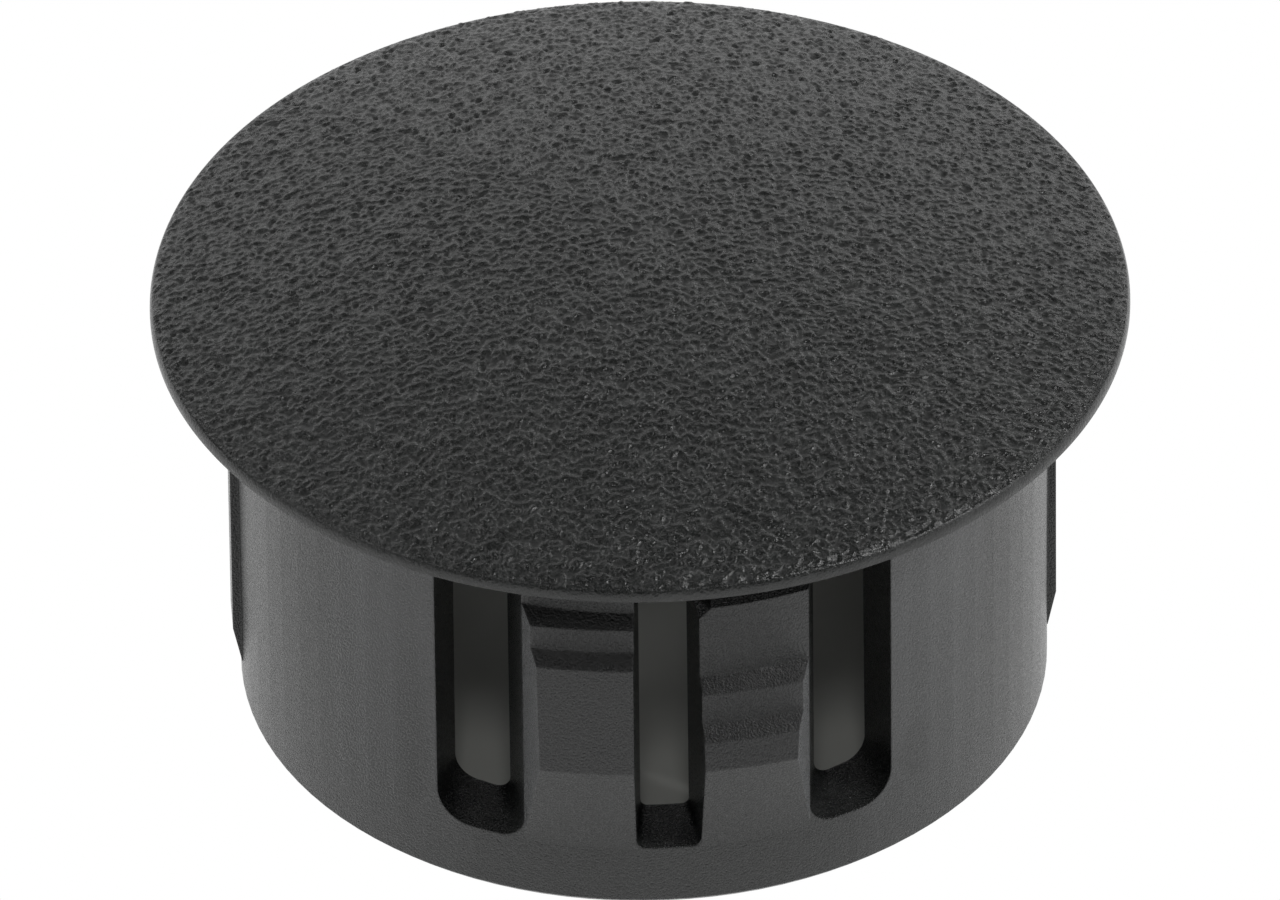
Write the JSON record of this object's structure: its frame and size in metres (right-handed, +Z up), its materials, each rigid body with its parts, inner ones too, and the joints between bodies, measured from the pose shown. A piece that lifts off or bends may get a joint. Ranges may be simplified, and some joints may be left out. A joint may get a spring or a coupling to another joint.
{
  "type": "plastic hole plug",
  "caption": "Snap-in hole plug moulded in one piece: grained domed head, hollow skirt and stepped snap fingers set in slots.",
  "frame": {"origin": "centre of the skirt's open lower rim", "axes": "+Z up through the dome, the two pairs of snap fingers face -Y and +Y, the centring ribs face -X and +X"},
  "size_m": [0.026, 0.026, 0.0143],
  "materials": {
    "nylon": "grained dome, satin skirt"
  },
  "bodies": {
    "root": {"hole_plug": "nylon"}
  },
  "joints": []
}
